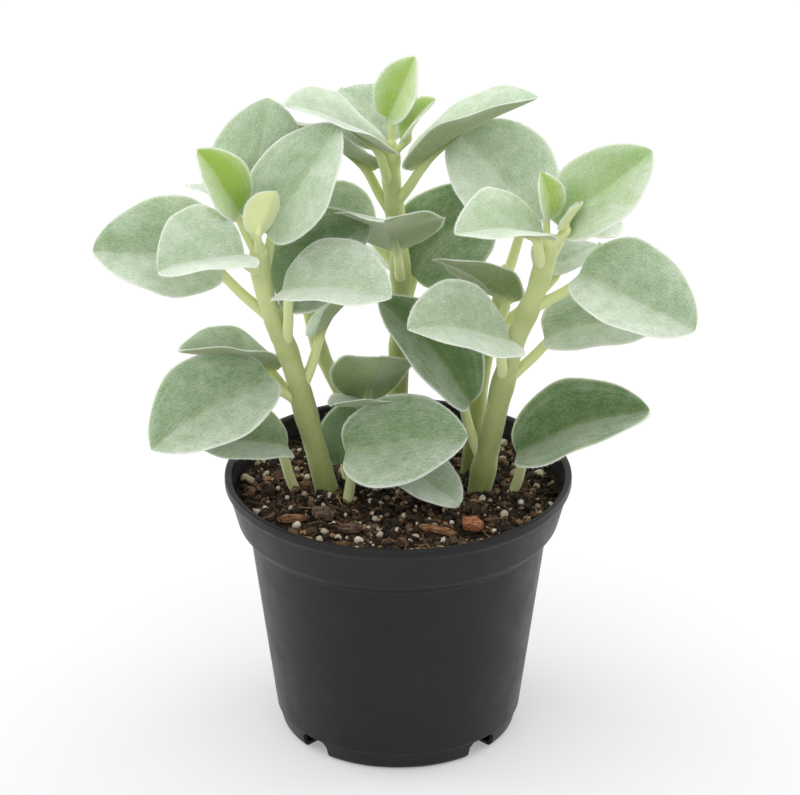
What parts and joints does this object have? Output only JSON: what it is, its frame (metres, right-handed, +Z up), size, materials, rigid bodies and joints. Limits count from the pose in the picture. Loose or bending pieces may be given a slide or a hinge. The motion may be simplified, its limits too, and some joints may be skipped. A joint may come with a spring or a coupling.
{
  "type": "potted peperomia",
  "caption": "Small bushy houseplant with thick folded oval leaves on pale fleshy stems, standing in a round tapered plastic nursery pot of potting mix.",
  "frame": {"origin": "centre of the pot's underside, on the surface that the pot stands on", "axes": "+Z up out of the pot, -Y towards the front of the plant, +X to the right"},
  "size_m": [0.181, 0.118, 0.218],
  "materials": {
    "pot": "satin black moulded plastic",
    "mix": "damp peat with perlite and bark",
    "bark": "rough bark",
    "stem": "smooth fleshy stem with fine down",
    "leaf": "felted grey-green leaf with a pale rim",
    "young_leaf": "felted yellow-green young leaf"
  },
  "bodies": {
    "root": {"nursery_pot": "pot", "stem_left": "stem", "stem_right": "stem", "stem_middle": "stem", "stem_back_left": "stem", "stem_back_right": "stem", "leaf_left_low_front": "leaf", "leaf_left_low_back": "leaf", "leaf_left_upper_back": "leaf", "leaf_left_front_top": "leaf", "leaf_left_young": "young_leaf", "leaf_left_bud": "young_leaf", "leaf_left_back_top": "leaf", "leaf_left_right_top": "leaf", "leaf_left_mid_right": "leaf", "leaf_left_mid_back": "leaf", "leaf_left_inner": "leaf", "leaf_middle_young": "young_leaf", "leaf_middle_bud": "young_leaf", "leaf_middle_right_top": "leaf", "leaf_middle_left_top": "leaf", "leaf_middle_back_top": "leaf", "leaf_middle_left_low": "leaf", "leaf_middle_front": "leaf", "leaf_middle_right_back": "leaf", "leaf_middle_left_back": "leaf", "leaf_middle_back": "leaf", "leaf_inner_front": "leaf", "leaf_inner_left": "leaf", "leaf_back_left": "leaf", "leaf_back_left_top": "leaf", "leaf_right_mid": "leaf", "leaf_right_mid_back": "leaf", "leaf_right_young_big": "young_leaf", "leaf_right_young": "young_leaf", "leaf_right_bud": "young_leaf", "leaf_right_back_top": "leaf", "leaf_right_front_top": "leaf", "leaf_right_back_small": "leaf", "leaf_right_mid_left": "leaf", "leaf_right_low_left": "leaf", "leaf_back_right_edge": "leaf", "leaf_back_right_top": "leaf", "leaf_back_right_low": "leaf", "leaf_back_right_inner": "leaf", "leaf_back_right_side": "leaf", "leaf_basal_left": "leaf", "leaf_basal_right": "leaf", "leaf_front_big": "leaf", "leaf_front_inner": "leaf", "leaf_front_low": "leaf", "potting_mix": "mix", "bark_chip_dark": "bark", "bark_chip_red": "bark", "bark_stick": "bark", "bark_chip_flat": "bark", "bark_chip_left": "bark"}
  },
  "joints": []
}
